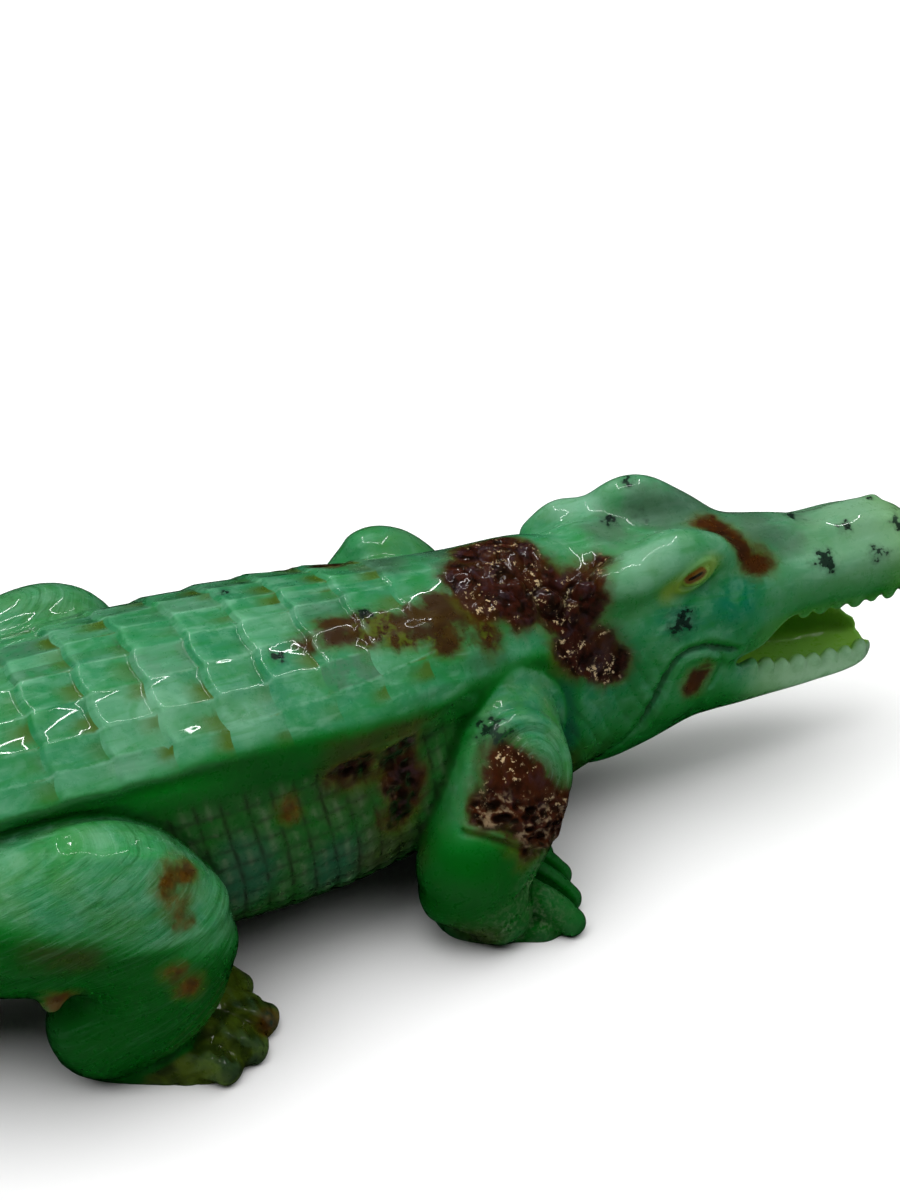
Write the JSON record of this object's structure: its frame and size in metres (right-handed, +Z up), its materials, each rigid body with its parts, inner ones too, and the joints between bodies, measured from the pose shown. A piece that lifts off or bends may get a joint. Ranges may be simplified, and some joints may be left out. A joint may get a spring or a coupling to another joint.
{
  "type": "jade alligator carving",
  "caption": "Solid carved green stone figure of a walking alligator with open mouth, plated back and curved tail, standing on its own feet.",
  "frame": {"origin": "middle of the footprint, on the surface the carving stands on", "axes": "+X from tail to head, +Y to the animal's left, +Z up"},
  "size_m": [0.2512, 0.0702, 0.0472],
  "materials": {
    "jade": "polished translucent green stone with brown matrix patches and black specks"
  },
  "bodies": {
    "root": {"alligator": "jade"}
  },
  "joints": []
}
